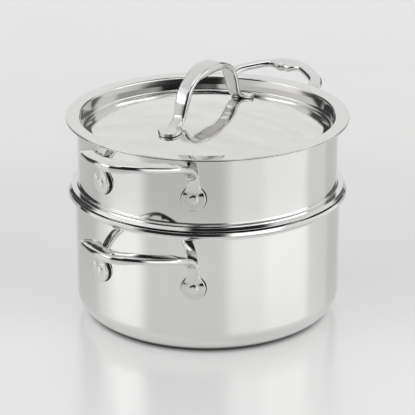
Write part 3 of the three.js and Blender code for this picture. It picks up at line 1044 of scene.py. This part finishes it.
for vessel, wall, sheet, lug in (("pot", POT_RADIUS, POT_WALL, POT_LUG),
                                 ("insert", INSERT_RADIUS, SHEET, INSERT_LUG)):
    for end, start in (("front", 0.0), ("rear", math.pi)):
        for side, angle in (("left", -LUG_ANGLE), ("right", LUG_ANGLE)):
            bm = turn_rivet(wall, sheet)
            outwards = direction(start + angle, 0)
            bmesh.ops.rotate(bm, verts=bm.verts[:], cent=(0, 0, 0),
                             matrix=outwards.to_track_quat("Z", "Y").to_matrix())
            bmesh.ops.translate(bm, verts=bm.verts[:], vec=(0, 0, lug * MM))
            add_piece(bm, f"{vessel}_rivet_{end}_{side}", vessel, [rivet_polish])

# %% [markdown]
# ## Lid handle
# The lid's handle is an arch of the same casting: a round foot at each end, a leg that leans inwards
# and a broad pad for the hand. The arch is swept and mirrored like a loop. The feet are turned discs,
# tilted to the dome's slope, and a Boolean joins all of it into one casting. The lid lies a few
# degrees turned in the insert, so the handle is turned about the middle at the end.

# %% Arch
FOOT_THICKNESS = 3.0
FOOT_CIRCLE = 55.8
ARCH_SPAN = 44.0
ARCH_HEIGHT = 39.0
ARCH_HALF = 5.5
ARCH_WIDENING, WIDENING_REACH = 0.9, (12, 32)       # (from, to) along the arch
ARCH_THICKNESS = 4.8
ARCH_TAPER, TAPER_REACH = 0.25, (8, 20)
ARCH_EDGE = 2.3
ARCH_PAD_HALF_WIDTH = 8.5
ARCH_PAD_THICKNESS = 7.4
ARCH_PAD_FLAT = 7.0
ARCH_PAD_REACH = 18.0
ARCH_PAD_ROUNDING = 0.6
ARCH_START = 1.0
ARCH_START_LIFTS = (0.52, 0.35)                     # shares of the foot's thickness
ARCH_PLACES = ((0.97, 0.11), (0.85, 0.46), (0.72, 0.735), (0.5, 0.9), (0.25, 0.98), (0, 1))
SIDE = Vector((1, 0, 0))

foot_rest = dome_height(FOOT_CIRCLE) + LUG_GAP
leg_base = dome_height(ARCH_SPAN) + LUG_GAP + FOOT_THICKNESS / 2
arch_top = dome_top + ARCH_HEIGHT - ARCH_PAD_THICKNESS / 2
stations = half_stations([
    Vector((0, -FOOT_CIRCLE + ARCH_START, foot_rest + FOOT_THICKNESS * ARCH_START_LIFTS[0])),
    Vector((0, -(FOOT_CIRCLE + ARCH_SPAN) / 2,
            (foot_rest + leg_base) / 2 + FOOT_THICKNESS * ARCH_START_LIFTS[1])),
    *(Vector((0, -ARCH_SPAN * out, leg_base + (arch_top - leg_base) * up)) for out, up in ARCH_PLACES),
], 1)
length = stations[0][2]
bm = bmesh.new()
rings = []
for place, along, left in stations:
    pad = bump_at(max(left - ARCH_PAD_FLAT, 0), ARCH_PAD_REACH)
    width = ARCH_HALF + ARCH_WIDENING * ease(length - left, *WIDENING_REACH)
    width += (ARCH_PAD_HALF_WIDTH - width) * pad
    taper = ARCH_TAPER * ARCH_THICKNESS * ease(length - left, *TAPER_REACH)
    thick = (1 - ARCH_TAPER) * ARCH_THICKNESS + taper
    thick = (thick + (ARCH_PAD_THICKNESS - thick) * pad) / 2
    rings.append(add_section(bm, place, SIDE, SIDE.cross(along).normalized(), width, width,
                             thick, thick, ARCH_EDGE + ARCH_PAD_ROUNDING * pad))
bridge_mirrored(bm, rings, "Y")
arch = add_piece(bm, "lid_handle", "lid", [satin_casting])

# %% Feet of the arch
FOOT_RADIUS = 9.6
FOOT_EDGE = 1.0
FOOT_CROWN = 0.2
FOOT_GROOVE = 0.5
GROOVE_LOW, GROOVE_MIDDLE, GROOVE_TOP = 1.0, 1.3, 1.6
FOOT_STEPS = 72
FOOT_BENDS = 5
ARCH_TURN = math.radians(-4.2)

bm = bmesh.new()
draw_profile(bm, [
    (0, 0, 0),
    (FOOT_RADIUS, 0, 0.5),
    (FOOT_RADIUS, GROOVE_LOW, 0.3),
    (FOOT_RADIUS - FOOT_GROOVE, GROOVE_MIDDLE, 0.1),
    (FOOT_RADIUS, GROOVE_TOP, 0.3),
    (FOOT_RADIUS, FOOT_THICKNESS, FOOT_EDGE),
    (0, FOOT_THICKNESS + FOOT_CROWN, 0),
], FOOT_BENDS)
turn_profile(bm, FOOT_STEPS)
tilt = Matrix.Rotation(math.asin(FOOT_CIRCLE / dome_radius), 3, "X")
bmesh.ops.rotate(bm, verts=bm.verts[:], cent=(0, 0, 0), matrix=tilt)
bmesh.ops.translate(bm, verts=bm.verts[:], vec=(0, -FOOT_CIRCLE * MM, foot_rest * MM))
bmesh.ops.mirror(bm, geom=bm.verts[:] + bm.edges[:] + bm.faces[:], axis="Y",
                 merge_dist=SAME_PLACE)
bmesh.ops.recalc_face_normals(bm, faces=bm.faces[:])
joined = combine(arch, bm, "UNION", cast_polish)
joined.transform(Matrix.Rotation(ARCH_TURN, 4, "Z"))
print("lid handle with feet", len(joined.polygons), "faces")
